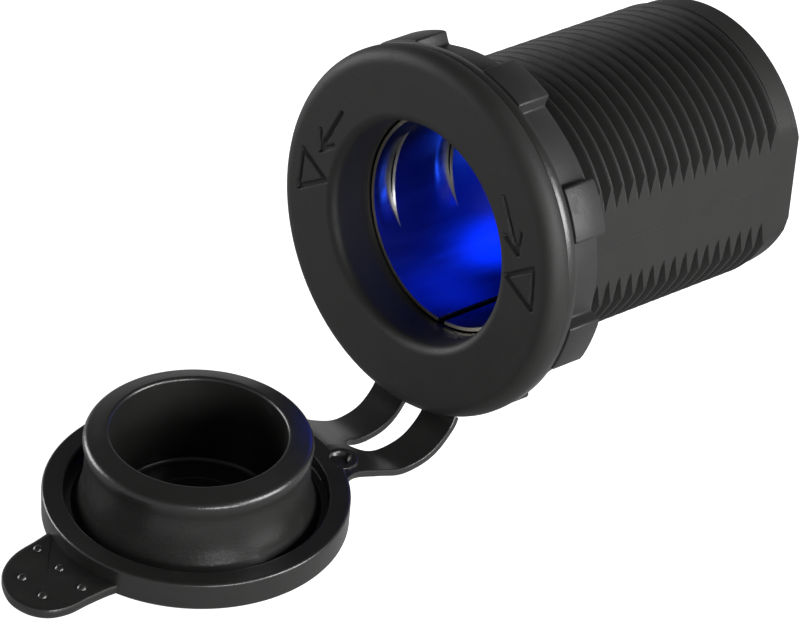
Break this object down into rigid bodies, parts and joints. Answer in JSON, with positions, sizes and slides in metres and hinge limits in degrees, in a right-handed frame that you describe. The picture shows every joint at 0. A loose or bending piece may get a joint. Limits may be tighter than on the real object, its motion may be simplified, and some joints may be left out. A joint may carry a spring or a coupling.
{
  "type": "car 12v power socket",
  "caption": "Round panel-mount 12 V power socket with a lit contact well, threaded barrel with flats, ring nut, rear blades and a soft cap on twin straps.",
  "frame": {"origin": "on the socket's axis at the panel seat, the rear face of the cap's ring behind the flange", "axes": "+Y runs rearwards through the panel, +Z is the top of the face, flats of the barrel face +X and -X"},
  "size_m": [0.0374, 0.098, 0.0447],
  "materials": {
    "body_plastic": "fine moulded texture",
    "nut_plastic": "fine moulded texture",
    "cap_rubber": "satin soft moulding",
    "nickel_plate": "bright nickel plate",
    "contact_brass": "bright",
    "blade_metal": "tinned",
    "steel": "plain",
    "insulator_board": "pressed board",
    "lamp_lens": "clear blue tint",
    "resistor_body": "lacquered",
    "wire_insulation": "smooth"
  },
  "bodies": {
    "socket": {"socket_body": "body_plastic", "rear_cover": "body_plastic", "contact_shell": "nickel_plate", "centre_insulator": "insulator_board", "centre_contact": "contact_brass", "centre_rivet": "contact_brass", "centre_washer": "steel", "shell_rivet": "contact_brass", "shell_washer": "steel", "positive_blade": "blade_metal", "negative_blade": "blade_metal", "led_lamp": "lamp_lens", "led_anode_leg": "steel", "led_resistor": "resistor_body", "resistor_lead": "steel", "led_wire": "wire_insulation", "cap_ring": "cap_rubber"},
    "strap": {"cap_strap": "cap_rubber"},
    "cap": {"dust_cap": "cap_rubber"},
    "nut": {"lock_nut": "nut_plastic"}
  },
  "joints": [
    {"name": "cap_swing", "type": "hinge", "parent": "socket", "child": "strap", "pos_m": [-0.00105, -0.01176, -0.01794], "axis": [0.9981, 0.0208, -0.0583], "range_deg": [-97.33, 80], "stiffness_Nm_per_rad": 0.0013, "springref_deg": -20.05, "deforming": ["cap_strap"]},
    {"name": "cap_push", "type": "slide", "parent": "strap", "child": "cap", "axis": [0.0813, -0.1271, 0.9886], "range_m": [0, 0.008]},
    {"name": "nut_travel", "type": "slide", "parent": "socket", "child": "nut", "axis": [0, 1, 0], "range_m": [0, 0.038]}
  ]
}
